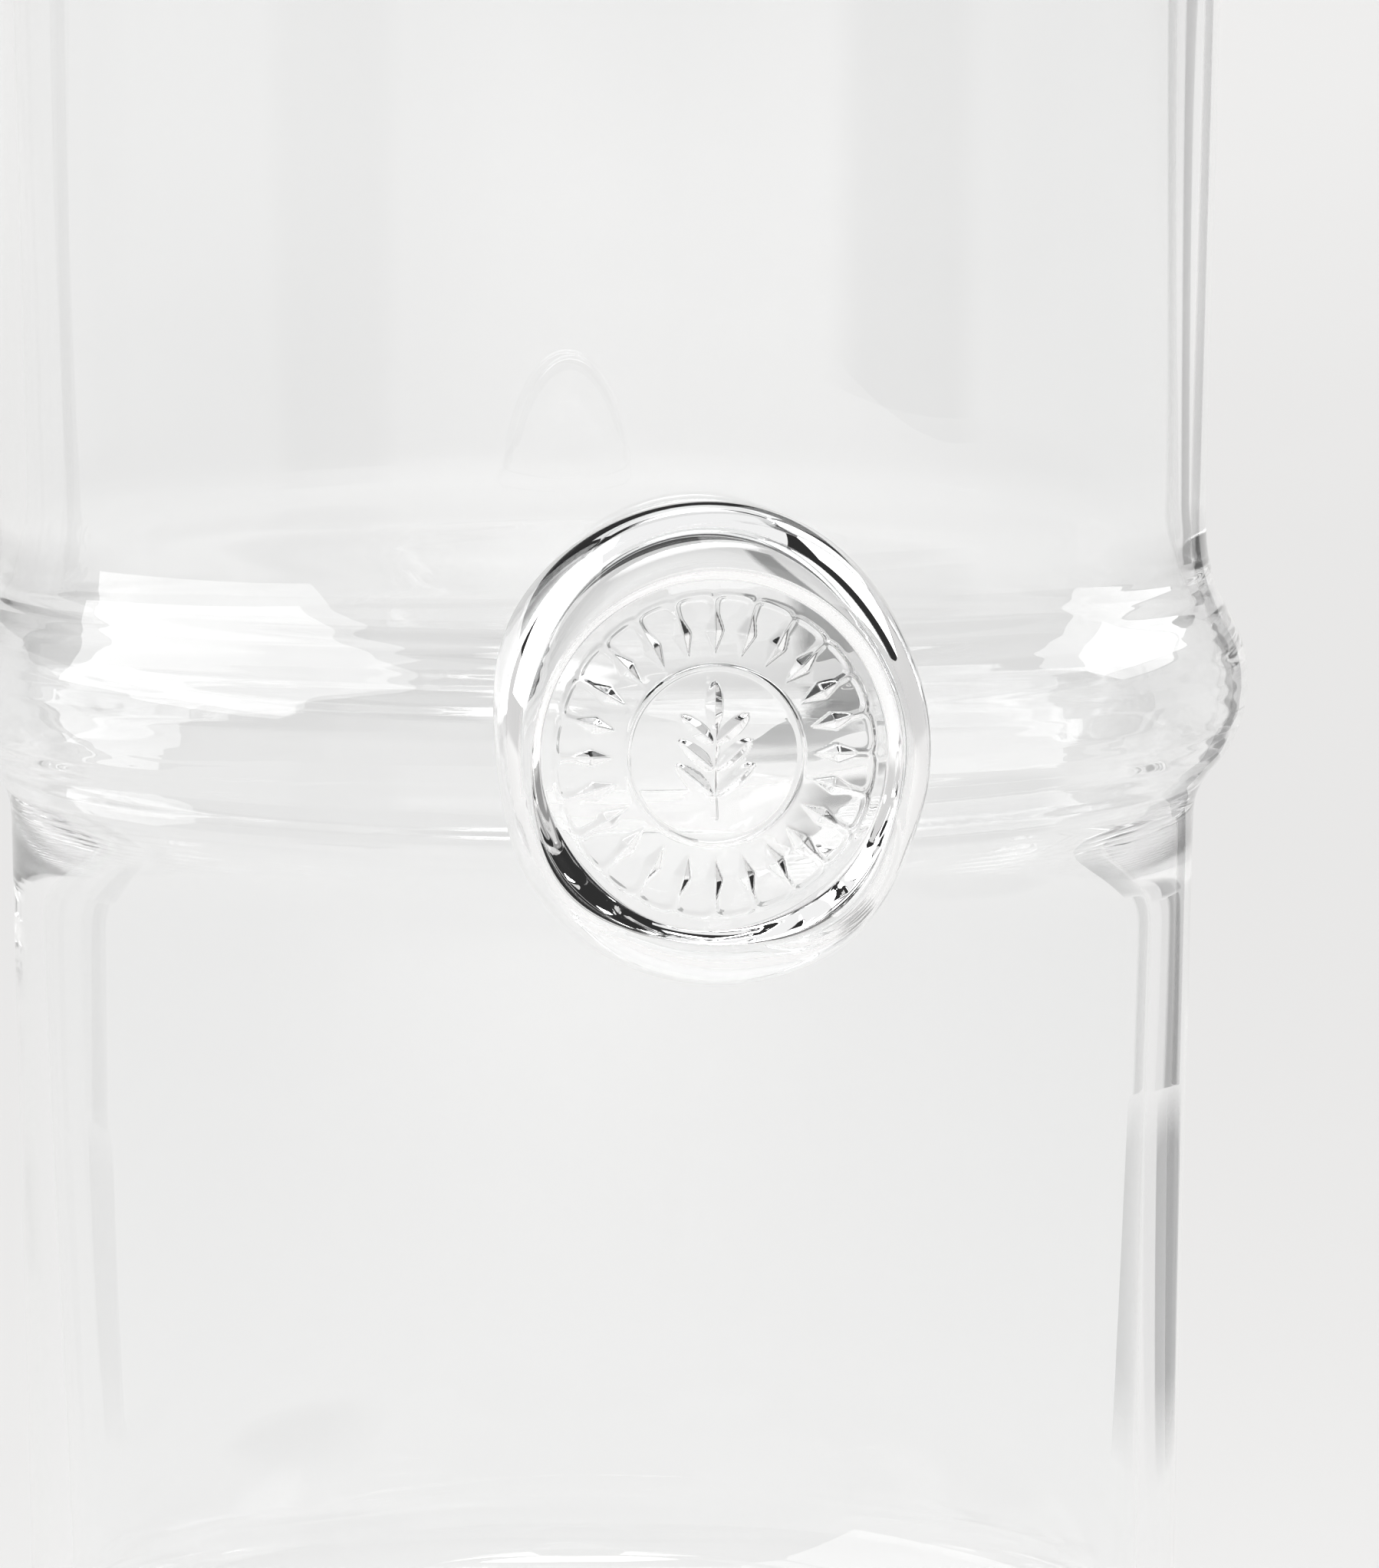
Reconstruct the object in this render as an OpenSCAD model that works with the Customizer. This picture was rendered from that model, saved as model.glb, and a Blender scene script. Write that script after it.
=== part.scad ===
// Mixing glass: one blown body with a hollow ring round its middle and a pulled pouring
// lip, and a second gather of glass pressed on the front of the ring as a stamped seal.
// The origin is on the body's axis, on the surface that the glass stands on. +Z is up,
// the seal faces -Y and the lip pours towards -X.

/* [Body] */
// Overall height, from the standing surface to the rim
height = 165; // [156:1:174]
// Outer radius that the upper wall would have at the middle of the ring
upper_radius = 43.9; // [43.5:0.1:44.5]
// Outer radius that the lower wall would have at the middle of the ring
lower_radius = 43.5; // [43:0.1:43.9]
// Outward lean of both walls, in millimetres of radius for each millimetre of height
wall_lean = 0.021; // [0.01:0.001:0.025]
// Thickness of the upper wall
upper_wall = 2.3; // [1.8:0.1:2.6]
// Thickness of the lower wall
lower_wall = 2.7; // [2.2:0.1:3]

/* [Ring] */
// Height of the middle of the ring above the standing surface
ring_height = 88; // [82:1:94]
// How far the ring's crest stands out from the body's axis
ring_crest = 47.3; // [46.6:0.1:48]
// Radius of the ring's rounded section
ring_round = 9; // [8.5:0.1:10]
// Radius of the hollow that blends the upper wall into the ring
upper_blend = 12; // [10:0.5:14]
// Radius of the tighter hollow that blends the ring into the lower wall
lower_blend = 4; // [3:0.5:5]
// Thickness of the glass at the ring's crest
ring_wall = 1.8; // [1.5:0.1:2.2]
// Radius of the ring's rounded section on the inside
inner_round = 8; // [7.5:0.1:9]
// Radius of the inside's blend from the upper wall into the ring
inner_upper_blend = 14; // [12:0.5:16]
// Radius of the inside's long blend from the ring into the lower wall
inner_lower_blend = 18; // [15:0.5:20]

/* [Base] */
// Thickness of the glass at the middle of the base
base_thickness = 11; // [8:0.5:14]
// Radius of the rounded edge between the base and the wall
heel_round = 6; // [4:0.5:7]
// Radius of the rounded corner inside, between the floor and the wall
floor_round = 10; // [7:0.5:12]
// Radius of the shallow hollow under the base, inside the band that it stands on
hollow_radius = 29; // [24:0.5:31]
// Depth of the hollow under the base
hollow_depth = 1.4; // [1:0.1:2]

/* [Pouring lip] */
// How far the lip is pulled out beyond the rim
lip_reach = 6.5; // [4:0.5:8]
// Half of the angle that the lip's mouth covers
lip_half_angle = 17; // [14:0.5:20]
// Height over which the wall flares into the lip
lip_flare = 19; // [16:0.5:22]
// How far the rim rises at the lip's point
lip_rise = 0.8; // [0:0.1:1.5]

/* [Seal] */
// Width of the seal
seal_width = 30.8; // [30:0.1:32]
// Height of the seal
seal_height = 34.2; // [33.2:0.1:36]
// Distance from the body's axis to the crest of the seal's lip
seal_crest = 50.6; // [50.2:0.1:51.4]
// Depth that the die pressed the seal's face below its lip
die_depth = 1.5; // [1.2:0.1:1.8]
// Radius of the die
die_radius = 12.8; // [12.3:0.1:13]
// Number of rays in the stamped sunburst
ray_count = 24; // [18:1:28]

/* [Hidden] */
$fn = 96;

arc_steps = 9;

// Width of the slope from the hollow under the base to the band that it stands on.
hollow_slope = 8;

// The mouth starts this far below the rim and sinks into the turned body by mouth_sink,
// inset by mouth_inset so that no two faces lie on each other.
mouth_height = lip_flare + 2;
mouth_sink = 1.2;
mouth_inset = 0.06;
mouth_sides = 96;
mouth_levels = 9;
rim_steps = 6;

// On both sides of the lip the rim is drawn in by this share of the lip's reach, over
// an angle of draw_angle that starts past the lip's own.
lip_draw = 0.1;
draw_angle = 12;
draw_place = 2.1 * lip_half_angle;

// The seal's edge is rounded over this radius, and the die presses it off its centre.
seal_round = 3.2;
die_offset = [-0.4, -0.3];
die_edge = 0.9;
die_clearance = 3;
seal_floor = seal_crest - die_depth;
seal_straight = seal_height - seal_width;

// The seal's blank reaches in to this distance from the axis, and the form that trims
// it covers more than its height.
seal_root = 36;
form_bottom = ring_height - seal_height;
form_top = ring_height + seal_height;

// What the die leaves standing: the rays, the round band and the sprig inside it.
ray_radius = 9.1;
ray_length = 3.9;
ray_width = 1.3;
ray_relief = 0.45;
band_radius = 6.2;
band_relief = 0.28;
stem_length = 10;
stem_width = 0.5;
leaf_length = 3.1;
leaf_width = 1.15;
leaf_out = 1.5;
leaf_turn = 48;
leaf_pitch = 2.1;
top_pair = 1.6;
tip_leaf = 3.2;

function arc(centre, radius, from, to, steps) =
    [for (i = [0:steps]) let (angle = from + (to - from) * i / steps)
        [centre.x + radius * cos(angle), centre.y + radius * sin(angle)]];

// Height above the ring's middle at which a blend of the given radius touches both the
// ring's section, whose crest is at the given radius, and a wall that leans out. side is
// 1 above the ring and -1 below it.
function blend_height(wall_radius, crest, section, blend, side) =
    let (reach = wall_radius + blend * sqrt(1 + pow(wall_lean, 2)) - crest + section)
    let (lean_square = 1 + pow(wall_lean, 2))
    let (gap = pow(reach, 2) - pow(section + blend, 2))
    (-reach * wall_lean + side * sqrt(pow(reach * wall_lean, 2) - lean_square * gap)) / lean_square;

function blend_centre(wall_radius, blend, z) =
    [wall_radius + blend * sqrt(1 + pow(wall_lean, 2)) + wall_lean * z, ring_height + z];

// One side of the wall past the ring, from the lower wall up to the upper wall.
function ring_side(low_radius, high_radius, crest, section, low_blend, high_blend) =
    let (ring_centre = crest - section)
    let (low_z = blend_height(low_radius, crest, section, low_blend, -1))
    let (high_z = blend_height(high_radius, crest, section, high_blend, 1))
    let (low = blend_centre(low_radius, low_blend, low_z))
    let (high = blend_centre(high_radius, high_blend, high_z))
    let (low_turn = atan2(low_z, low.x - ring_centre))
    let (high_turn = atan2(high_z, high.x - ring_centre))
    let (square_to_wall = 180 - atan(wall_lean))
    concat(
        arc(low, low_blend, square_to_wall, 180 + low_turn, arc_steps),
        arc([ring_centre, ring_height], section, low_turn, high_turn, arc_steps * 2),
        arc(high, high_blend, 180 + high_turn, square_to_wall, arc_steps));

function upper_outside(z) = upper_radius + wall_lean * (z - ring_height);
function lower_outside(z) = lower_radius + wall_lean * (z - ring_height);

function outside_of_ring() =
    ring_side(lower_radius, upper_radius, ring_crest, ring_round, lower_blend, upper_blend);

function inside_of_ring() =
    ring_side(lower_radius - lower_wall, upper_radius - upper_wall, ring_crest - ring_wall,
        inner_round, inner_lower_blend, inner_upper_blend);

function heel() =
    arc([lower_outside(heel_round) - heel_round, heel_round], heel_round, -90, 0, arc_steps);

function floor_corner() =
    let (z = base_thickness + floor_round)
    arc([lower_outside(z) - lower_wall - floor_round, z], floor_round, -90, 0, arc_steps);

function reversed(points) = [for (i = [len(points) - 1:-1:0]) points[i]];

// Outline of the turned body, cut off square where the mouth takes over.
module body_outline() {
    top = height - mouth_height;
    polygon(concat(
        [[0, hollow_depth], [hollow_radius - hollow_slope, hollow_depth], [hollow_radius, 0]],
        heel(),
        outside_of_ring(),
        [[upper_outside(top), top], [upper_outside(top) - upper_wall, top]],
        reversed(inside_of_ring()),
        reversed(floor_corner()),
        [[0, base_thickness]]));
}

// The pull of the lip at an angle from its middle, from 0 to 1, with the rim drawn in a
// little on both sides of it.
function lip_pull(angle) =
    exp(-pow(angle / lip_half_angle, 2)) - lip_draw * exp(-pow((abs(angle) - draw_place) / draw_angle, 2));

function lip_rise_at(z) = pow(max(0, (z - height + lip_flare) / lip_flare), 2);

// The mouth's wall as points [radius, z], up the outside, over the round rim and down
// the inside.
function mouth_wall() =
    let (start = height - mouth_height - mouth_sink)
    let (end = height - upper_wall / 2)
    let (levels = [for (i = [0:mouth_levels]) start + (end - start) * i / mouth_levels])
    concat(
        [for (z = levels) [upper_outside(z) - (z == start ? mouth_inset : 0), z]],
        [for (i = [1:rim_steps - 1]) let (angle = 180 * i / rim_steps)
            [upper_outside(end) - upper_wall / 2 * (1 - cos(angle)), end + upper_wall / 2 * sin(angle)]],
        [for (z = reversed(levels)) [upper_outside(z) - upper_wall + (z == start ? mouth_inset : 0), z]]);

module mouth() {
    wall = mouth_wall();
    count = len(wall);
    points = [for (i = [0:mouth_sides - 1]) for (p = wall)
        let (turn = 360 * i / mouth_sides)
        let (angle = turn - 180)
        let (pull = lip_pull(angle) * lip_rise_at(p.y))
        let (radius = p.x + lip_reach * pull)
        [radius * cos(turn), radius * sin(turn), p.y + lip_rise * pull]];
    faces = [for (i = [0:mouth_sides - 1]) for (k = [0:count - 1])
        let (a = i * count + k)
        let (b = i * count + (k + 1) % count)
        let (c = ((i + 1) % mouth_sides) * count + (k + 1) % count)
        let (d = ((i + 1) % mouth_sides) * count + k)
        each [[a, b, c], [a, c, d]]];
    polyhedron(points, faces);
}

module vessel() {
    color([0.86, 0.9, 0.9, 0.35]) {
        rotate_extrude() body_outline();
        mouth();
    }
}

// The body's outer shape with nothing hollow, which the seal is moulded against.
module body_form() {
    rotate_extrude() polygon(concat(
        [[0, form_bottom], [lower_outside(form_bottom), form_bottom]],
        outside_of_ring(),
        [[upper_outside(form_top), form_top], [0, form_top]]));
}

// Half of the seal's section: r from its middle, z out from the body's axis.
module seal_section(half_width) {
    corner = [half_width - seal_round, seal_crest - seal_round];
    polygon(concat(
        [[0, seal_root], [half_width, seal_root]],
        arc(corner, seal_round, 0, 90, arc_steps),
        [[0, seal_crest]]));
}

// The gather as it settled: two round ends and a short straight middle.
module seal_blank() {
    half = seal_width / 2;
    for (end = [0, 1])
        rotate([0, 0, 180 * end]) translate([0, seal_straight / 2, 0])
            rotate_extrude(angle = 180) seal_section(half);
    rotate([90, 0, 0]) translate([0, 0, -seal_straight / 2])
        linear_extrude(seal_straight) for (side = [0, 1]) mirror([side, 0]) seal_section(half);
}

// What the die pressed away: a round recess whose rim is eased.
module die_recess() {
    rotate_extrude() polygon(concat(
        [[0, seal_floor]],
        arc([die_radius - die_edge, seal_floor + die_edge], die_edge, -90, 0, arc_steps),
        [[die_radius, seal_crest + die_clearance], [0, seal_crest + die_clearance]]));
}

// A low four-sided pyramid on a lozenge, lying along Y, used for the rays and leaves.
module lozenge(length, width, relief) {
    sunk = 0.2;
    polyhedron(
        [[0, -length / 2, -sunk], [width / 2, 0, -sunk], [0, length / 2, -sunk], [-width / 2, 0, -sunk],
            [0, 0, relief]],
        [[0, 1, 2, 3], [1, 0, 4], [2, 1, 4], [3, 2, 4], [0, 3, 4]]);
}

module sunburst() {
    for (i = [0:ray_count - 1])
        rotate([0, 0, 360 * (i + 0.5) / ray_count]) translate([0, ray_radius, 0])
            lozenge(ray_length, ray_width, ray_relief);
}

module band() {
    rotate_extrude() translate([band_radius, 0]) circle(band_relief, $fn = 24);
}

// The motif in the band: a plain sprig of three pairs of leaves and one at the tip.
module sprig() {
    lozenge(stem_length, stem_width, band_relief);
    translate([0, tip_leaf, 0]) lozenge(leaf_length, leaf_width, ray_relief);
    for (pair = [0:2]) for (side = [-1, 1])
        translate([side * leaf_out, top_pair - leaf_pitch * pair, 0])
            rotate([0, 0, -side * leaf_turn]) lozenge(leaf_length, leaf_width, ray_relief);
}

module seal() {
    color([0.82, 0.88, 0.88, 0.45])
        difference() {
            translate([0, 0, ring_height]) rotate([90, 0, 0]) {
                difference() {
                    seal_blank();
                    translate(die_offset) die_recess();
                }
                translate([die_offset.x, die_offset.y, seal_floor]) {
                    sunburst();
                    band();
                    sprig();
                }
            }
            body_form();
        }
}

vessel();
seal();
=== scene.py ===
import math

import bpy
import numpy as np
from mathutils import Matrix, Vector


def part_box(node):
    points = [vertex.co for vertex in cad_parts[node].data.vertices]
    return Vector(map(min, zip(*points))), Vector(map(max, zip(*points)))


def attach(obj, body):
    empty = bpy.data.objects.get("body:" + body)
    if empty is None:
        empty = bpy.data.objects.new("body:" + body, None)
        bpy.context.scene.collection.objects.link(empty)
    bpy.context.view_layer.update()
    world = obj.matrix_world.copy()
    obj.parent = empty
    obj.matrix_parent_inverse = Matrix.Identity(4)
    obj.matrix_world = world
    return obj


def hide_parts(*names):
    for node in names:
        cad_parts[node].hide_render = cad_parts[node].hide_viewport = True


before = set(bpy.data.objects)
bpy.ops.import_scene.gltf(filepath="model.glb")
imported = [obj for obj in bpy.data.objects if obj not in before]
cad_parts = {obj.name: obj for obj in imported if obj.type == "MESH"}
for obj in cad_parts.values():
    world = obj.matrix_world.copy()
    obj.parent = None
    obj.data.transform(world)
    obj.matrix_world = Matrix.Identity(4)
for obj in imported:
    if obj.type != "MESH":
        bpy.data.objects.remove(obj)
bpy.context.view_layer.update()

scene = bpy.context.scene


# ------------------------------------------------------------------------------------
# The body is one gather of clear glass, blown with a hollow ring round its middle and
# a thick base. The wall, the ring, the fire-polished rim and the pulled lip are all
# the same glass, so it is one closed mesh from the base to the rim.

MM = 0.001
body_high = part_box("vessel")[1]
seal_low, seal_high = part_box("seal")
ring_height = (seal_low.z + seal_high.z) / 2
ring_crest = body_high.x

upper_radius = 43.9 * MM
lower_radius = 43.5 * MM
wall_lean = 0.021
upper_wall = 2.3 * MM
lower_wall = 2.7 * MM

ring_round = 9 * MM
upper_blend = 12 * MM
lower_blend = 4 * MM
ring_wall = 1.8 * MM
inner_round = 8 * MM
inner_upper_blend = 14 * MM
inner_lower_blend = 18 * MM

base_thickness = 11 * MM
floor_crown = 0.7 * MM
heel_round = 6 * MM
floor_round = 10 * MM
hollow_radius = 29 * MM
hollow_depth = 1.4 * MM

lip_reach = 6.5 * MM
lip_half_angle = math.radians(17)
lip_flare = 19 * MM
lip_rise = 0.8 * MM
lip_draw = 0.1
draw_angle = math.radians(12)
lip_side = -math.pi / 2
rim_height = body_high.z - lip_rise
rim_bead = 0.16 * MM
rim_bead_height = 2.5 * MM


def straight_wall(wall_radius, height):
    return wall_radius + wall_lean * (height - ring_height)


def ring_side(height, low_radius, high_radius, crest, section, low_blend, high_blend):
    """Radius of one side of the wall at each height, from the lower wall through the
    ring's round section, and the hollows that blend it, to the upper wall."""
    ring_centre = crest - section
    z = height - ring_height
    radius = straight_wall(np.where(z > 0, high_radius, low_radius), height)
    slant = math.hypot(1, wall_lean)
    touches = []
    for side, wall_radius, blend in ((-1, low_radius, low_blend), (1, high_radius, high_blend)):
        reach = wall_radius + blend * slant - ring_centre
        gap = reach**2 - (section + blend) ** 2
        root = math.sqrt((reach * wall_lean) ** 2 - slant**2 * gap)
        blend_z = (side * root - reach * wall_lean) / slant**2
        blend_radius = ring_centre + reach + wall_lean * blend_z
        on_ring = blend_z * section / (section + blend)
        on_wall = blend_z + blend * wall_lean / slant
        curved = (side * z > side * on_ring) & (side * z < side * on_wall)
        drop = np.sqrt(np.maximum(blend**2 - (z - blend_z) ** 2, 0))
        radius = np.where(curved, blend_radius - drop, radius)
        touches.append(on_ring)
    on_section = (z >= touches[0]) & (z <= touches[1])
    bulge = np.sqrt(np.maximum(section**2 - z**2, 0))
    return np.where(on_section, ring_centre + bulge, radius)


def softened(radius, step, spread):
    """The same curve with its changes of bend eased, as surface tension eases hot glass."""
    reach = int(4 * spread / step)
    weights = np.exp(-0.5 * (np.arange(-reach, reach + 1) * step / spread) ** 2)
    padded = np.concatenate([
        radius[0] + (radius[1] - radius[0]) * np.arange(-reach, 0),
        radius,
        radius[-1] + (radius[-1] - radius[-2]) * np.arange(1, reach + 1),
    ])
    return np.convolve(padded, weights / weights.sum(), mode="valid")


table_step = 0.1 * MM
table_height = np.arange(0, rim_height + 10 * MM, table_step)
outside_table = softened(
    ring_side(
        table_height, lower_radius, upper_radius, ring_crest, ring_round, lower_blend, upper_blend),
    table_step, 0.7 * MM)
inside_table = softened(
    ring_side(
        table_height, lower_radius - lower_wall, upper_radius - upper_wall, ring_crest - ring_wall,
        inner_round, inner_lower_blend, inner_upper_blend),
    table_step, 0.7 * MM)


def outside_wave(turn, height):
    """How far hand work leaves the outside off a true round."""
    return MM * (
        0.05 * np.sin(2 * turn + 0.7)
        + 0.03 * np.sin(3 * turn + 2.1 + 14 * height)
        + 0.014 * np.sin(7 * turn - 1.2 + 45 * height)
        + 0.008 * np.sin(13 * turn + 80 * height)
        + 0.02 * np.sin(90 * height + 1.3)
    )


def inside_wave(turn, height):
    """The inside wanders more than the outside, so the wall's thickness varies."""
    return MM * (
        0.09 * np.sin(turn + 2.4)
        + 0.05 * np.sin(2 * turn - 0.8 + 11 * height)
        + 0.035 * np.sin(5 * turn + 0.5 - 20 * height)
        + 0.018 * np.sin(11 * turn + 1.9 + 60 * height)
        + 0.03 * np.sin(120 * height + 0.4)
    )


def outside(turn, height):
    return np.interp(height, table_height, outside_table) + outside_wave(turn, height)


def lip_pull(turn, height):
    """0 where the wall is plain, rising to 1 at the lip's point. The rim is drawn in a
    little on both sides of the lip."""
    rise = np.clip((height - rim_height + lip_flare) / lip_flare, 0, None) ** 2
    angle = np.abs((turn - lip_side + math.pi) % (2 * math.pi) - math.pi)
    spread = lip_half_angle * (0.75 + 0.25 * np.clip(rise, 0, 1))
    pull = np.exp(-((angle / spread) ** 2))
    drawn = np.exp(-(((angle - 2.1 * lip_half_angle) / draw_angle) ** 2))
    return rise * (pull - lip_draw * drawn)


def arc_points(centre_radius, centre_height, radius, start, end, count):
    angles = np.radians(np.linspace(start, end, count))
    return centre_radius + radius * np.cos(angles), centre_height + radius * np.sin(angles)


# The section is a row of stretches from the middle of the underside, up the outside,
# over the rim and down the inside to the middle of the floor. Each stretch has radii,
# heights, and which wave it follows: 0 for none, 1 for the outside, 2 for the inside.
patch_half_height = 21 * MM
patch_bottom = ring_height - patch_half_height
patch_top = ring_height + patch_half_height
stretches = []

under_radius = np.linspace(2 * MM, hollow_radius, 16)
under_height = hollow_depth * (1 - (under_radius / hollow_radius) ** 2) ** 2
stretches.append((under_radius, under_height, 0))
heel_centre = straight_wall(lower_radius, heel_round) - heel_round
heel_radius, heel_height = arc_points(heel_centre, heel_round, heel_round, -90, 0, 14)
stretches.append((np.linspace(hollow_radius + 1 * MM, heel_centre, 5)[:-1], np.zeros(4), 0))
stretches.append((heel_radius, heel_height, 0))

plain_low = np.linspace(heel_round, patch_bottom, 42)[1:-1]
patch_rows = np.linspace(patch_bottom, patch_top, 71)
bead_bottom = rim_height - 3 * rim_bead_height
plain_high = np.linspace(patch_top, bead_bottom, 44)[1:]
bead_rows = np.linspace(bead_bottom, rim_height - upper_wall / 2, 14)[1:]
outside_rows = np.concatenate([plain_low, patch_rows, plain_high, bead_rows])
stretches.append((np.interp(outside_rows, table_height, outside_table), outside_rows, 1))

rim_middle_radius = straight_wall(upper_radius, rim_height) - upper_wall / 2
rim_centre_height = rim_height - upper_wall / 2
rim_radius, rim_heights = arc_points(rim_middle_radius, rim_centre_height, upper_wall / 2, 0, 180, 13)
stretches.append((rim_radius[1:-1], rim_heights[1:-1], 1))

floor_corner_height = base_thickness + floor_round
inside_rows = np.concatenate([
    bead_rows[::-1], np.linspace(bead_bottom, patch_top, 44),
    patch_rows[::-1][1:], np.linspace(patch_bottom, floor_corner_height, 34)[1:]])
stretches.append((np.interp(inside_rows, table_height, inside_table), inside_rows, 2))

floor_centre = straight_wall(lower_radius - lower_wall, floor_corner_height) - floor_round
corner_radius, corner_height = arc_points(floor_centre, floor_corner_height, floor_round, 0, -90, 18)
stretches.append((corner_radius[1:], corner_height[1:], 0))
floor_radius = np.linspace(floor_centre, 2 * MM, 16)[1:]
floor_height = base_thickness + floor_crown * (1 - (floor_radius / floor_centre) ** 2) ** 2
stretches.append((floor_radius, floor_height, 0))

row_radius = np.concatenate([radii for radii, heights, wave in stretches])
row_height = np.concatenate([heights for radii, heights, wave in stretches])
row_wave = np.concatenate([np.full(len(radii), wave) for radii, heights, wave in stretches])

# A turn of 0 faces the seal, and a quarter turn faces +X.
turn_count = 320
turns = (np.arange(turn_count) - turn_count // 2) * 2 * math.pi / turn_count
turn_grid, height_grid = np.meshgrid(turns, row_height, indexing="ij")
wave_fade = np.clip((height_grid - 14 * MM) / (14 * MM), 0, 1)
wave = np.where(
    row_wave == 1, outside_wave(turn_grid, height_grid), inside_wave(turn_grid, height_grid))
bead = rim_bead * np.exp(-(((height_grid - rim_height) / rim_bead_height) ** 2))
bead_side = np.where(row_wave == 1, 1, -1) * np.sign(np.abs(row_radius - rim_middle_radius))
pull_grid = lip_pull(turn_grid, height_grid)
walled = row_wave > 0
radius_grid = row_radius + walled * (wave * wave_fade + bead * bead_side + lip_reach * pull_grid)
lifted_grid = height_grid + walled * lip_rise * pull_grid

points = np.stack([
    radius_grid * np.sin(turn_grid), -radius_grid * np.cos(turn_grid), lifted_grid], axis=-1)
row_count = len(row_radius)


def grid_point(turn_index, row):
    return (turn_index % turn_count) * row_count + row


# Round the seal the mesh changes from upright columns to rings that follow the seal's
# footprint, so that the edge of the fused joint is a clean line of edges.
die_across = -0.4 * MM
die_height = ring_height - 0.3 * MM


def seal_edge(turn):
    """How far the seal's outline is from the middle of the die, where turn is 0 at the
    top and grows clockwise. The gather settled into an egg, fuller at its lower right."""
    return MM * (
        16.3
        + 0.4 * np.cos(turn) + 0.4 * np.sin(turn)
        + 0.8 * np.cos(2 * turn) - 0.25 * np.sin(2 * turn)
        - 0.1 * np.cos(4 * turn)
        + 0.05 * np.sin(5 * turn + 0.6)
    )


def bulge_at(turn, middle, spread):
    """1 at one place round the seal, falling away to 0 on both sides of it."""
    away = np.abs((turn - middle + math.pi) % (2 * math.pi) - math.pi)
    return np.exp(-((away / spread) ** 2))


right_corner = 2.4
left_corner = 4.1
right_spread = 0.45
left_spread = 0.42


def sag(turn):
    """1 at the two lower corners of the seal, where the hot gather sagged over its joint."""
    return bulge_at(turn, right_corner, right_spread) + bulge_at(turn, left_corner, left_spread)


def crease_tuck(turn):
    """How far the joint lies under the seal's outline. The lower corners overhang it."""
    return MM * (0.55 + 2.4 * sag(turn))


def footprint(turn):
    """The line where the seal meets the body, tucked a little under its outline."""
    reach = seal_edge(turn) - crease_tuck(turn)
    return die_across + reach * np.sin(turn), die_height + reach * np.cos(turn)


def on_body(across, height):
    """Points of the body's outside at a distance across the front and a height."""
    plain = np.interp(height, table_height, outside_table)
    turn = np.arcsin(np.clip(across / plain, -1, 1))
    radius = outside(turn, height)
    return np.stack([across, -np.sqrt(radius**2 - across**2), height], axis=-1)


patch_half_turns = 28
first_turn = turn_count // 2 - patch_half_turns
last_turn = turn_count // 2 + patch_half_turns
outside_start = sum(len(radii) for radii, heights, wave in stretches[:3])
first_row = outside_start + len(plain_low)
last_row = first_row + len(patch_rows) - 1

frame_loop = (
    [grid_point(i, first_row) for i in range(first_turn, last_turn)]
    + [grid_point(last_turn, j) for j in range(first_row, last_row)]
    + [grid_point(i, last_row) for i in range(last_turn, first_turn, -1)]
    + [grid_point(first_turn, j) for j in range(last_row, first_row, -1)]
)
flat_points = points.reshape(-1, 3)
frame_across = flat_points[frame_loop, 0]
frame_height = flat_points[frame_loop, 2]
frame_turn = np.arctan2(frame_across - die_across, frame_height - die_height)
foot_across, foot_height = footprint(frame_turn)

outer_rings = 14
inner_rings = 16
patch_points = []
for k in range(1, outer_rings + 1):
    share = 1 - (1 - k / outer_rings) ** 1.5
    patch_points.append(on_body(
        frame_across + (foot_across - frame_across) * share,
        frame_height + (foot_height - frame_height) * share))
for k in range(1, inner_rings):
    share = 1 - k / inner_rings
    patch_points.append(on_body(
        die_across + (foot_across - die_across) * share,
        die_height + (foot_height - die_height) * share))
patch_middle = on_body(np.array([die_across]), np.array([die_height]))
under_middle = np.array([[0, 0, hollow_depth]])
floor_middle = np.array([[0, 0, base_thickness + floor_crown]])

loop_length = len(frame_loop)
patch_start = len(flat_points)
patch_middle_index = patch_start + loop_length * len(patch_points)
body_points = np.concatenate([
    flat_points, *patch_points, patch_middle, under_middle, floor_middle])

body_faces = []
body_finish = []
for i in range(turn_count):
    for j in range(row_count - 1):
        if first_turn <= i < last_turn and first_row <= j < last_row:
            continue
        body_faces.append((
            grid_point(i, j), grid_point(i + 1, j), grid_point(i + 1, j + 1), grid_point(i, j + 1)))
        body_finish.append(0)
    body_faces.append((grid_point(i + 1, 0), grid_point(i, 0), patch_middle_index + 1))
    body_finish.append(0)
    body_faces.append((
        grid_point(i, row_count - 1), grid_point(i + 1, row_count - 1), patch_middle_index + 2))
    body_finish.append(0)

ring_loops = [frame_loop] + [
    [patch_start + k * loop_length + i for i in range(loop_length)] for k in range(len(patch_points))]
for k in range(len(ring_loops) - 1):
    for i in range(loop_length):
        after = (i + 1) % loop_length
        body_faces.append((
            ring_loops[k][i], ring_loops[k][after], ring_loops[k + 1][after], ring_loops[k + 1][i]))
        body_finish.append(1 if k >= outer_rings else 0)
for i in range(loop_length):
    body_faces.append((ring_loops[-1][i], ring_loops[-1][(i + 1) % loop_length], patch_middle_index))
    body_finish.append(1)


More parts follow.
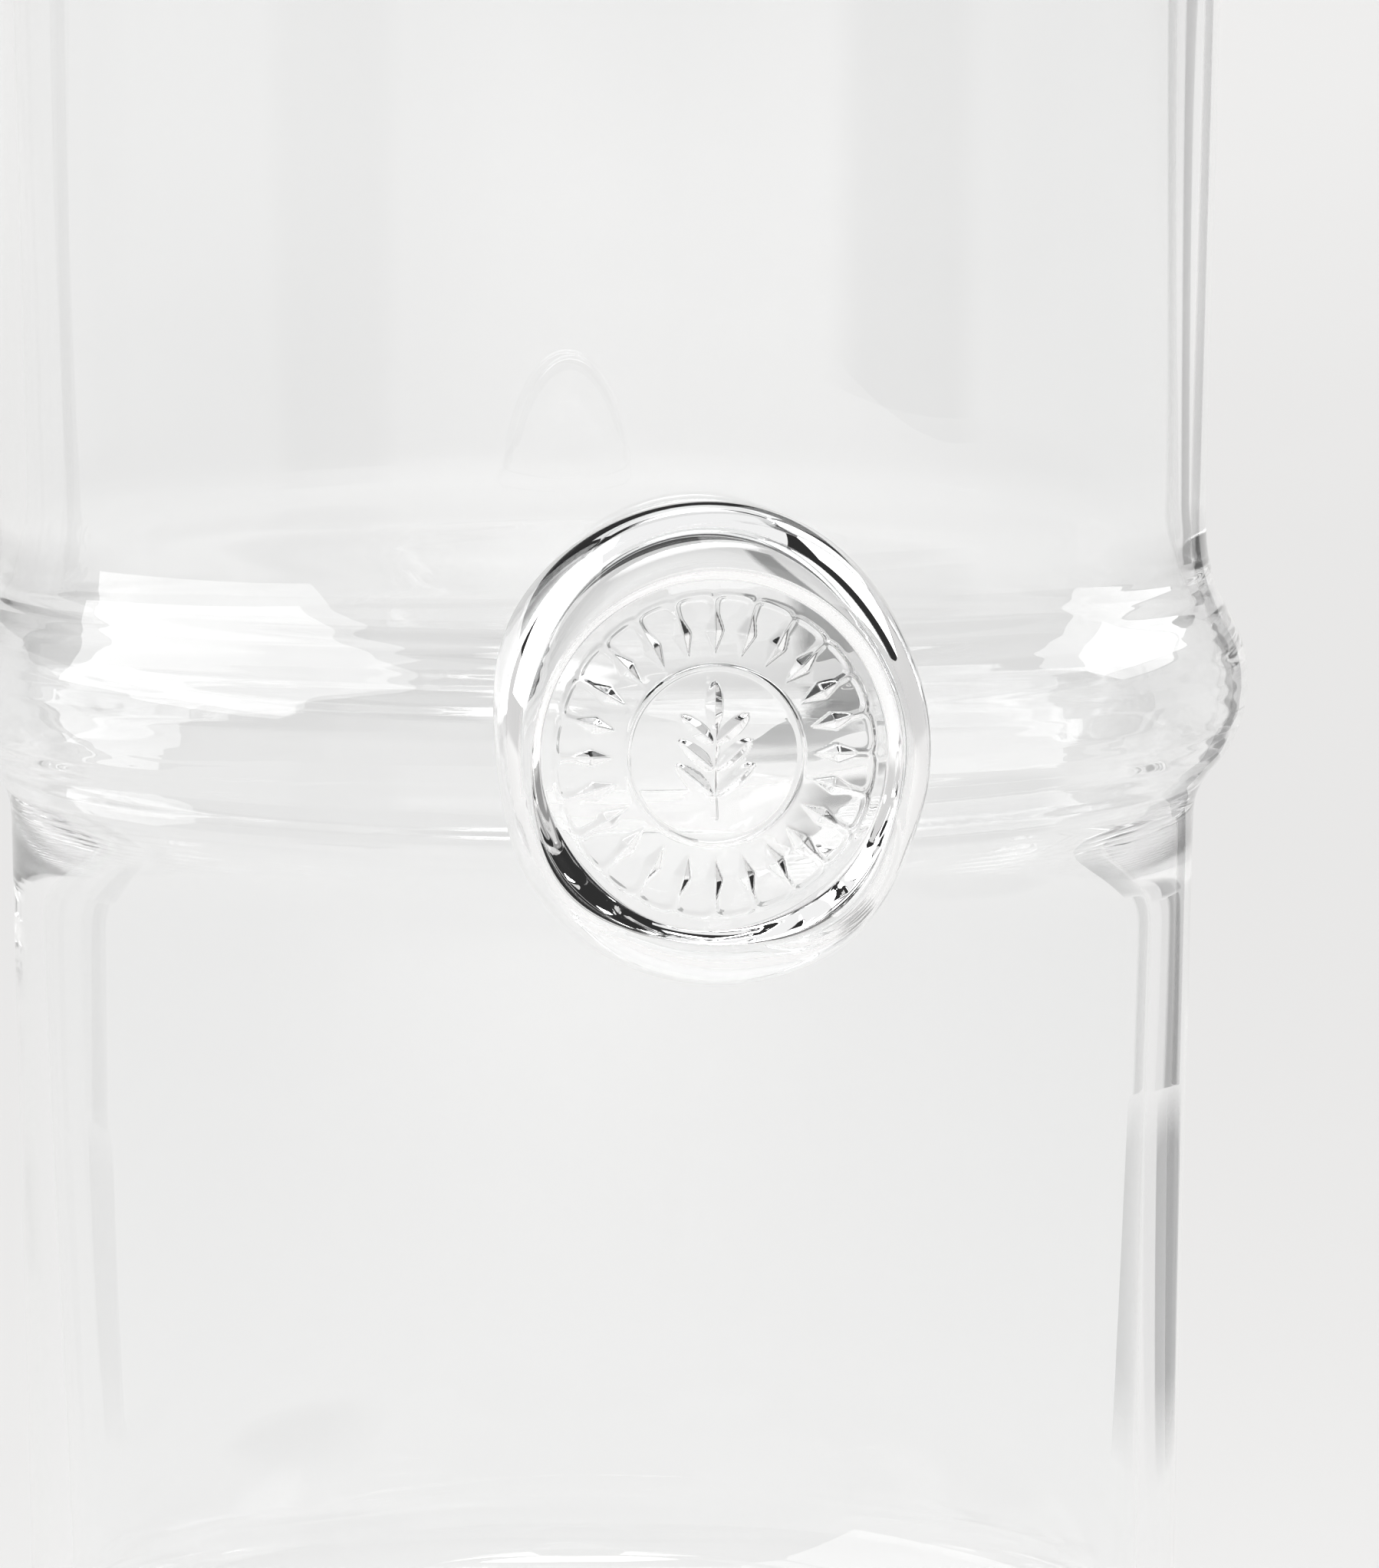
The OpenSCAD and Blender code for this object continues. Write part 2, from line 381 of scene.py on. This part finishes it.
def mesh_object(name, vertices, faces, finish, materials):
    """A smooth object from numpy points, with a material number for each face."""
    mesh = bpy.data.meshes.new(name)
    mesh.from_pydata(vertices.tolist(), [], faces)
    for material in materials:
        mesh.materials.append(material)
    mesh.polygons.foreach_set("material_index", finish)
    mesh.polygons.foreach_set("use_smooth", [True] * len(faces))
    mesh.update()
    made = bpy.data.objects.new(name, mesh)
    scene.collection.objects.link(made)
    return made


def node_tree(material):
    material.use_nodes = True
    tree = material.node_tree
    tree.nodes.clear()
    return tree, tree.nodes.new("ShaderNodeOutputMaterial")


lines_full = 6 * MM
lines_gone = 11 * MM


def turned_lines(tree, place, normal, depth):
    """Fine lines round the ring, where the tool held it as the glass turned. They fade
    out on the walls above and below it."""
    squash = tree.nodes.new("ShaderNodeMapping")
    squash.inputs["Scale"].default_value = (7, 7, 400)
    tree.links.new(place.outputs["Object"], squash.inputs["Vector"])
    lines = tree.nodes.new("ShaderNodeTexNoise")
    lines.inputs["Scale"].default_value = 1
    lines.inputs["Detail"].default_value = 1
    tree.links.new(squash.outputs["Vector"], lines.inputs["Vector"])
    parts = tree.nodes.new("ShaderNodeSeparateXYZ")
    tree.links.new(place.outputs["Object"], parts.inputs["Vector"])
    above = tree.nodes.new("ShaderNodeMath")
    above.operation = "SUBTRACT"
    above.inputs[1].default_value = ring_height
    tree.links.new(parts.outputs["Z"], above.inputs[0])
    from_crest = tree.nodes.new("ShaderNodeMath")
    from_crest.operation = "ABSOLUTE"
    tree.links.new(above.outputs["Value"], from_crest.inputs[0])
    ring_only = tree.nodes.new("ShaderNodeMapRange")
    ring_only.interpolation_type = "SMOOTHSTEP"
    ring_only.inputs["From Min"].default_value = lines_full
    ring_only.inputs["From Max"].default_value = lines_gone
    ring_only.inputs["To Min"].default_value = depth
    ring_only.inputs["To Max"].default_value = 0
    tree.links.new(from_crest.outputs["Value"], ring_only.inputs["Value"])
    ripples = tree.nodes.new("ShaderNodeBump")
    ripples.inputs["Strength"].default_value = 1
    tree.links.new(lines.outputs["Fac"], ripples.inputs["Height"])
    tree.links.new(ring_only.outputs["Result"], ripples.inputs["Distance"])
    tree.links.new(normal, ripples.inputs["Normal"])
    return ripples.outputs["Normal"]


def clear_glass(name, cord_scale, cord_depth, film_roughness, line_depth=0):
    """Clear soda glass. Stretched noise bends its surface by microns, like the cords in
    blown glass, and a faint film of handling marks takes the edge off the gloss."""
    material = bpy.data.materials.new(name)
    tree, output = node_tree(material)
    place = tree.nodes.new("ShaderNodeTexCoord")

    stretch = tree.nodes.new("ShaderNodeMapping")
    stretch.inputs["Scale"].default_value = cord_scale
    tree.links.new(place.outputs["Object"], stretch.inputs["Vector"])
    cords = tree.nodes.new("ShaderNodeTexNoise")
    cords.inputs["Scale"].default_value = 1
    cords.inputs["Detail"].default_value = 2
    cords.inputs["Distortion"].default_value = 0.6
    tree.links.new(stretch.outputs["Vector"], cords.inputs["Vector"])
    bump = tree.nodes.new("ShaderNodeBump")
    bump.inputs["Strength"].default_value = 1
    bump.inputs["Distance"].default_value = cord_depth
    tree.links.new(cords.outputs["Fac"], bump.inputs["Height"])
    normal = bump.outputs["Normal"]
    if line_depth:
        normal = turned_lines(tree, place, normal, line_depth)

    marks = tree.nodes.new("ShaderNodeTexNoise")
    marks.inputs["Scale"].default_value = 38
    marks.inputs["Detail"].default_value = 5
    tree.links.new(place.outputs["Object"], marks.inputs["Vector"])
    film = tree.nodes.new("ShaderNodeMapRange")
    film.inputs["From Min"].default_value = 0.5
    film.inputs["From Max"].default_value = 0.8
    film.inputs["To Max"].default_value = film_roughness
    tree.links.new(marks.outputs["Fac"], film.inputs["Value"])

    glass = tree.nodes.new("ShaderNodeBsdfPrincipled")
    glass.inputs["Base Color"].default_value = (0.993, 0.996, 0.997, 1)
    glass.inputs["Transmission Weight"].default_value = 1
    glass.inputs["IOR"].default_value = 1.51
    tree.links.new(film.outputs["Result"], glass.inputs["Roughness"])
    tree.links.new(normal, glass.inputs["Normal"])

    # Lamps shine through it, so its shadow is as faint as that of real glass.
    let_through = tree.nodes.new("ShaderNodeBsdfTransparent")
    let_through.inputs["Color"].default_value = (0.95, 0.955, 0.955, 1)
    light_path = tree.nodes.new("ShaderNodeLightPath")
    surface = tree.nodes.new("ShaderNodeMixShader")
    tree.links.new(light_path.outputs["Is Shadow Ray"], surface.inputs["Fac"])
    tree.links.new(glass.outputs["BSDF"], surface.inputs[1])
    tree.links.new(let_through.outputs["BSDF"], surface.inputs[2])
    tree.links.new(surface.outputs["Shader"], output.inputs["Surface"])
    return material


def fused_joint():
    """Where the seal and the body are fused there is no surface left for light to meet."""
    material = bpy.data.materials.new("fused_joint")
    tree, output = node_tree(material)
    clear = tree.nodes.new("ShaderNodeBsdfTransparent")
    tree.links.new(clear.outputs["BSDF"], output.inputs["Surface"])
    return material


joint = fused_joint()
body_glass = clear_glass("blown_glass", (26, 26, 5), 0.012 * MM, 0.03, 0.25 * MM)
body = mesh_object("blown_body", body_points, body_faces, body_finish, [body_glass, joint])
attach(body, "root")
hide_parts("vessel")


# ------------------------------------------------------------------------------------
# The seal is a second gather, dropped hot on the ring and fused to it. The round die that
# pressed it squeezed up a fat rounded lip, and left a sunburst of rays joined by arches, a
# thin band, and a plain sprig inside it. Its back is the body's own surface.

seal_crest = -seal_low.y
die_depth = 1.5 * MM
seal_floor = seal_crest - die_depth
ray_count = 24
ray_start = 7.05 * MM
ray_wide = 8.75 * MM
ray_end = 10.5 * MM
ray_half_width = 0.66 * MM
ray_relief = 0.42 * MM
arch_start = 10.3 * MM
arch_rise = 0.95 * MM
line_width = 0.15 * MM
arch_relief = 0.13 * MM
band_radius = 6.2 * MM
band_relief = 0.16 * MM
leaf_relief = 0.3 * MM


def sunburst(reach, turn):
    """Relief of the rays, and of the arches that join their outer ends."""
    cell = 2 * math.pi / ray_count
    from_ray = (turn + cell / 2) % cell - cell / 2
    sideways = np.abs(reach * from_ray)
    half_width = ray_half_width * np.interp(
        reach, [ray_start, ray_wide, ray_end], [0, 1, 0.12], left=0, right=0)
    roof = np.clip(1 - sideways / np.maximum(half_width, 1e-9), 0, 1)
    rays = ray_relief * half_width / ray_half_width * roof
    half_cell = reach * cell / 2
    from_middle = half_cell - sideways
    ahead = np.clip(reach - arch_start, 0, None) / arch_rise
    beside = np.clip(from_middle / np.maximum(half_cell, 1e-9), 0, 1)
    away = ((beside**4 + ahead**4) ** 0.25 - 1) * arch_rise
    shown = (reach > arch_start - 0.5 * MM) & (reach < arch_start + 2 * arch_rise)
    arches = arch_relief * np.exp(-((away / line_width) ** 2)) * shown
    return np.maximum(rays, arches)


def leaf(across, up, base_across, base_up, lean, length, width, relief):
    """A pointed leaf with a ridge along it, from its base at an angle from upright."""
    dx = across - base_across
    dy = up - base_up
    along = (dx * math.sin(lean) + dy * math.cos(lean)) / length
    beside = np.abs(dx * math.cos(lean) - dy * math.sin(lean))
    half_width = width / 2 * np.sqrt(np.clip(1 - (2 * along - 1) ** 2, 0, 1))
    return relief * np.clip(1 - beside / np.maximum(half_width, 1e-9), 0, 1) * (half_width > 0)


def sprig(across, up):
    """A stem with three pairs of leaves and one at its tip."""
    stem = np.exp(-(((across - 0.05 * MM * np.sin(up / MM)) / (0.17 * MM)) ** 2))
    stem = stem * band_relief * (np.abs(up + 0.9 * MM) < 3.6 * MM)
    made = np.maximum(stem, leaf(across, up, 0, 1.9 * MM, 0, 3.2 * MM, 1.25 * MM, leaf_relief))
    for pair in range(3):
        start = (0.9 - 1.85 * pair) * MM
        length = (2.9 + 0.25 * pair) * MM
        for side in (-1, 1):
            lean = side * math.radians(50)
            made = np.maximum(made, leaf(
                across, up, side * 0.1 * MM, start, lean, length, 1.2 * MM, leaf_relief))
    return made


def die_face(reach, turn):
    """Height of the relief above the flat of the pressed face."""
    across = reach * np.sin(turn)
    up = reach * np.cos(turn)
    band = band_relief * np.exp(-(((reach - band_radius) / line_width) ** 2))
    return np.maximum(sunburst(reach, turn), np.maximum(band, sprig(across, up)))


# At its lower corners the die's edge is a long slope up to a crest that stands higher.
right_slope = 2.45
left_slope = 4.05
slope_spread = 0.42
seal_turns = 480
seal_turn = np.arange(seal_turns) * 2 * math.pi / seal_turns
lower_right = bulge_at(seal_turn, right_slope, slope_spread)
lower_left = bulge_at(seal_turn, left_slope, slope_spread)
face_edge = (12.3 - 0.2 * lower_right - 0.4 * lower_left) * MM
crest_reach = (13.05 + 0.95 * lower_right + 1.15 * lower_left) * MM
lip_top = seal_crest + (1.2 * (lower_right + lower_left) - 0.12) * MM
edge_reach = seal_edge(seal_turn)

fold_middle = 13.0 * MM
fold_reach = 2.1 * MM
fold_width = 0.09
fold_depths = ((1.0, 0.2 * MM), (0.74, 0.12 * MM), (0.5, 0.06 * MM))


def folds(reach):
    """The lip's skin folded where it sagged: shallow grooves that nest inside each other."""
    height = 0 * reach
    for middle, spread in ((right_corner, 0.5), (left_corner, 0.46)):
        along = ((seal_turn - middle + math.pi) % (2 * math.pi) - math.pi) / spread
        beyond = (reach - fold_middle) / fold_reach
        away = np.sqrt(along**2 + beyond**2)
        for place, depth in fold_depths:
            height = height - depth * np.exp(-(((away - place) / fold_width) ** 2))
    past_crest = np.clip((reach - crest_reach) / (0.6 * MM), 0, 1)
    inside_edge = np.clip((edge_reach - reach) / (0.7 * MM), 0, 1)
    return height * past_crest * inside_edge


seal_rings = []
for share in np.linspace(0, 1, 100)[1:]:
    reach = face_edge * share
    height = seal_floor + die_face(reach, seal_turn)
    seal_rings.append((reach, height))
for share in np.linspace(0, 1, 19)[1:]:
    reach = face_edge + (crest_reach - face_edge) * share
    climb = (share + (1 - math.cos(math.pi * share)) / 2) / 2
    height = seal_floor + (lip_top - seal_floor) * climb
    seal_rings.append((reach, height + folds(reach)))
edge_across = die_across + edge_reach * np.sin(seal_turn)
edge_up = die_height + edge_reach * np.cos(seal_turn)
shoulder = -on_body(edge_across, edge_up)[:, 1] + (1.2 + 2.2 * sag(seal_turn)) * MM
for share in np.linspace(0, 1, 31)[1:]:
    bend = share * math.pi / 2
    reach = crest_reach + (edge_reach - crest_reach) * math.sin(bend)
    height = shoulder + (lip_top - shoulder) * math.cos(bend)
    seal_rings.append((reach, height + folds(reach)))

foot_across, foot_up = footprint(seal_turn)
foot_depth = -on_body(foot_across, foot_up)[:, 1]
for share in np.linspace(0, 1, 17)[1:]:
    bend = share * math.pi / 2
    reach = edge_reach - crease_tuck(seal_turn) * (1 - math.cos(bend))
    height = shoulder - (shoulder - foot_depth) * math.sin(bend)
    seal_rings.append((reach, height))

seal_points = [np.array([[die_across, -seal_floor - die_face(0, 0), die_height]])]
for reach, height in seal_rings:
    seal_points.append(np.stack([
        die_across + reach * np.sin(seal_turn),
        -height,
        die_height + reach * np.cos(seal_turn)], axis=-1))
front_rings = len(seal_rings)
back_rings = 14
for k in range(1, back_rings):
    share = 1 - k / back_rings
    seal_points.append(on_body(
        die_across + (foot_across - die_across) * share, die_height + (foot_up - die_height) * share))
seal_points.append(on_body(np.array([die_across]), np.array([die_height])))
seal_points = np.concatenate(seal_points)

seal_faces = []
seal_finish = []
ring_total = front_rings + back_rings - 1
for i in range(seal_turns):
    after = (i + 1) % seal_turns
    seal_faces.append((0, 1 + i, 1 + after))
    seal_finish.append(0)
    for k in range(ring_total - 1):
        inner = 1 + k * seal_turns
        outer = inner + seal_turns
        seal_faces.append((inner + i, outer + i, outer + after, inner + after))
        seal_finish.append(1 if k >= front_rings - 1 else 0)
    last = 1 + (ring_total - 1) * seal_turns
    seal_faces.append((last + i, len(seal_points) - 1, last + after))
    seal_finish.append(1)

seal_glass = clear_glass("stamped_glass", (60, 60, 60), 0.006 * MM, 0.02)
seal = mesh_object("stamped_seal", seal_points, seal_faces, seal_finish, [seal_glass, joint])
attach(seal, "root")
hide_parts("seal")


# ------------------------------------------------------------------------------------
# The glass stands on a pale sweep: a floor that curves up into a low wall all round. It is
# translucent paper lit from behind as well, so it glows a little, like a light table.

floor_flat = 1.6
wall_distance = 4.2
wall_height = 1.3
sweep_steps = 24
sweep_sides = 128
sweep_profile = [(0.0, 0.0), (0.3, 0.0), (0.8, 0.0), (floor_flat, 0.0)]
for step in range(1, sweep_steps + 1):
    bend = math.radians(90 * step / sweep_steps)
    sweep_profile.append((
        floor_flat + (wall_distance - floor_flat) * math.sin(bend), wall_height * (1 - math.cos(bend))))

floor_gap = 0.2 * MM
sweep_points = [(0, 0, -floor_gap)]
for radius, height in sweep_profile[1:]:
    for side in range(sweep_sides):
        turn = 2 * math.pi * side / sweep_sides
        sweep_points.append((radius * math.cos(turn), radius * math.sin(turn), height - floor_gap))
sweep_faces = []
for side in range(sweep_sides):
    after = (side + 1) % sweep_sides
    sweep_faces.append((0, 1 + side, 1 + after))
    for ring in range(len(sweep_profile) - 2):
        start = 1 + ring * sweep_sides
        above = start + sweep_sides
        sweep_faces.append((start + side, above + side, above + after, start + after))


def pale_paper():
    """Matt paper with a very faint unevenness and a glow."""
    material = bpy.data.materials.new("pale_paper")
    tree, output = node_tree(material)
    place = tree.nodes.new("ShaderNodeTexCoord")
    mottle = tree.nodes.new("ShaderNodeTexNoise")
    mottle.inputs["Scale"].default_value = 3
    tree.links.new(place.outputs["Object"], mottle.inputs["Vector"])
    tone = tree.nodes.new("ShaderNodeMix")
    tone.data_type = "RGBA"
    tone.inputs["A"].default_value = (0.23, 0.23, 0.226, 1)
    tone.inputs["B"].default_value = (0.25, 0.25, 0.246, 1)
    tree.links.new(mottle.outputs["Fac"], tone.inputs["Factor"])
    paper = tree.nodes.new("ShaderNodeBsdfPrincipled")
    paper.inputs["Roughness"].default_value = 0.9
    paper.inputs["Specular IOR Level"].default_value = 0.1
    paper.inputs["Emission Color"].default_value = (1, 0.992, 0.988, 1)
    paper.inputs["Emission Strength"].default_value = 0.585
    tree.links.new(tone.outputs["Result"], paper.inputs["Base Color"])
    tree.links.new(paper.outputs["BSDF"], output.inputs["Surface"])
    return material


sweep = mesh_object(
    "pale_sweep", np.array(sweep_points), sweep_faces, [0] * len(sweep_faces), [pale_paper()])


# ------------------------------------------------------------------------------------
# Six soft boxes light it. The one overhead is the broadest, and the ring mirrors the ones
# at its left and right as bright streaks. The front and back boxes light the sweep, and
# the high one shows in the seal's lip. The camera can't see them directly.


def soft_box(name, place, aim, width, height, power, spread=180):
    """A rectangular lamp aimed at a point. Its power is in watts, its spread in degrees."""
    light = bpy.data.lights.new(name, "AREA")
    light.shape = "RECTANGLE"
    light.size = width
    light.size_y = height
    light.energy = power
    light.spread = math.radians(spread)
    made = bpy.data.objects.new(name, light)
    made.location = place
    direction = np.array(aim) - np.array(place)
    made.rotation_euler = Vector(direction).to_track_quat("-Z", "Y").to_euler()
    made.visible_camera = False
    scene.collection.objects.link(made)
    return made


middle = (0, 0, ring_height)
soft_box("overhead_box", (0, 0.3, 3.0), (0, 0.3, 0), 4.0, 4.0, 43)
soft_box("left_box", (-1.45, 0.15, 1.1), middle, 2.0, 1.6, 24)
soft_box("right_box", (1.35, 0.7, 1.05), middle, 1.2, 1.0, 9)
soft_box("front_box", (0.1, -1.3, 1.1), (0.1, -0.85, 0), 1.6, 0.8, 15, 60)
soft_box("back_box", (0, 2.0, 1.5), (0, 2.5, 0.2), 3.4, 0.8, 14, 120)
soft_box("high_box", (0.3, 2.5, 2.2), middle, 2.6, 0.8, 6)

world = bpy.data.worlds.new("studio")
scene.world = world
world.use_nodes = True
world.node_tree.nodes["Background"].inputs["Color"].default_value = (1, 1, 1, 1)
world.node_tree.nodes["Background"].inputs["Strength"].default_value = 0.03


# ------------------------------------------------------------------------------------
# Four matt cards stand or lie round the glass, out of the camera's sight. Clear glass on a
# pale ground needs something darker to bend into its edges, or they vanish.


def card(name, tone, cover, corners):
    """A matt card, from its grey, how far it covers what is behind it, and its corners. Its
    sides fade out, so that the glass bends no hard edges into view."""
    material = bpy.data.materials.new(name)
    tree, output = node_tree(material)
    place = tree.nodes.new("ShaderNodeTexCoord")
    from_middle = tree.nodes.new("ShaderNodeMapping")
    from_middle.inputs["Location"].default_value = (-1, -1, 0)
    from_middle.inputs["Scale"].default_value = (2, 2, 0)
    tree.links.new(place.outputs["Generated"], from_middle.inputs["Vector"])
    fade = tree.nodes.new("ShaderNodeTexGradient")
    fade.gradient_type = "SPHERICAL"
    tree.links.new(from_middle.outputs["Vector"], fade.inputs["Vector"])
    shown = tree.nodes.new("ShaderNodeMapRange")
    shown.inputs["From Max"].default_value = 0.4
    shown.inputs["To Max"].default_value = cover
    tree.links.new(fade.outputs["Fac"], shown.inputs["Value"])
    clear = tree.nodes.new("ShaderNodeBsdfTransparent")
    matt = tree.nodes.new("ShaderNodeBsdfDiffuse")
    matt.inputs["Color"].default_value = (tone, tone, tone, 1)
    surface = tree.nodes.new("ShaderNodeMixShader")
    tree.links.new(shown.outputs["Result"], surface.inputs["Fac"])
    tree.links.new(clear.outputs["BSDF"], surface.inputs[1])
    tree.links.new(matt.outputs["BSDF"], surface.inputs[2])
    tree.links.new(surface.outputs["Shader"], output.inputs["Surface"])
    made = mesh_object(name, np.array(corners), [(0, 1, 2, 3)], [0], [material])
    made.visible_camera = False
    made.visible_diffuse = False
    made.visible_shadow = False


card_lift = 0.5 * MM
edge_card_height = 0.15
front_card_height = 0.5
card("right_card", 0.02, 0.55, [
    (0.055, -0.085, card_lift), (0.15, -0.085, card_lift),
    (0.15, 0.015, card_lift), (0.055, 0.015, card_lift)])
card("edge_card", 0.3, 1, [
    (0.225, 0.35, 0), (0.30, 0.28, 0),
    (0.30, 0.28, edge_card_height), (0.225, 0.35, edge_card_height)])
card("edge_floor_card", 0.35, 0.9, [
    (0.09, 0.12, card_lift), (0.11, 0.10, card_lift),
    (0.30, 0.28, card_lift), (0.225, 0.35, card_lift)])
card("front_card", 0.05, 0.6, [
    (0.45, -0.9, 0), (0.9, -0.3, 0),
    (0.9, -0.3, front_card_height), (0.45, -0.9, front_card_height)])


# ------------------------------------------------------------------------------------
# The camera looks at the front of the ring from a little to its left and above, with a
# long lens.

camera_azimuth = math.radians(-10)
camera_elevation = math.radians(6.6)
camera_distance = 0.95
view_height = 114.9 * MM
aim_right = 6.4 * MM
aim_below_ring = 7.9 * MM

towards_camera = np.array([
    math.sin(camera_azimuth) * math.cos(camera_elevation),
    -math.cos(camera_azimuth) * math.cos(camera_elevation),
    math.sin(camera_elevation)])
rightwards = np.array([math.cos(camera_azimuth), math.sin(camera_azimuth), 0])
aim = np.array([0, 0, ring_height - aim_below_ring]) + rightwards * aim_right

camera_data = bpy.data.cameras.new("camera")
camera_data.lens = camera_data.sensor_width * camera_distance / view_height
camera_data.clip_start = 0.01
camera_data.clip_end = 20
camera = bpy.data.objects.new("camera", camera_data)
camera.location = aim + towards_camera * camera_distance
camera.rotation_euler = Vector(-towards_camera).to_track_quat("-Z", "Y").to_euler()
scene.collection.objects.link(camera)
scene.camera = camera

scene.view_settings.view_transform = "Standard"
# Light that enters the wall on a slant runs along inside it for many reflections.
wall_bounces = 128
scene.cycles.max_bounces = wall_bounces
scene.cycles.transmission_bounces = wall_bounces
scene.cycles.glossy_bounces = wall_bounces
scene.cycles.transparent_max_bounces = wall_bounces
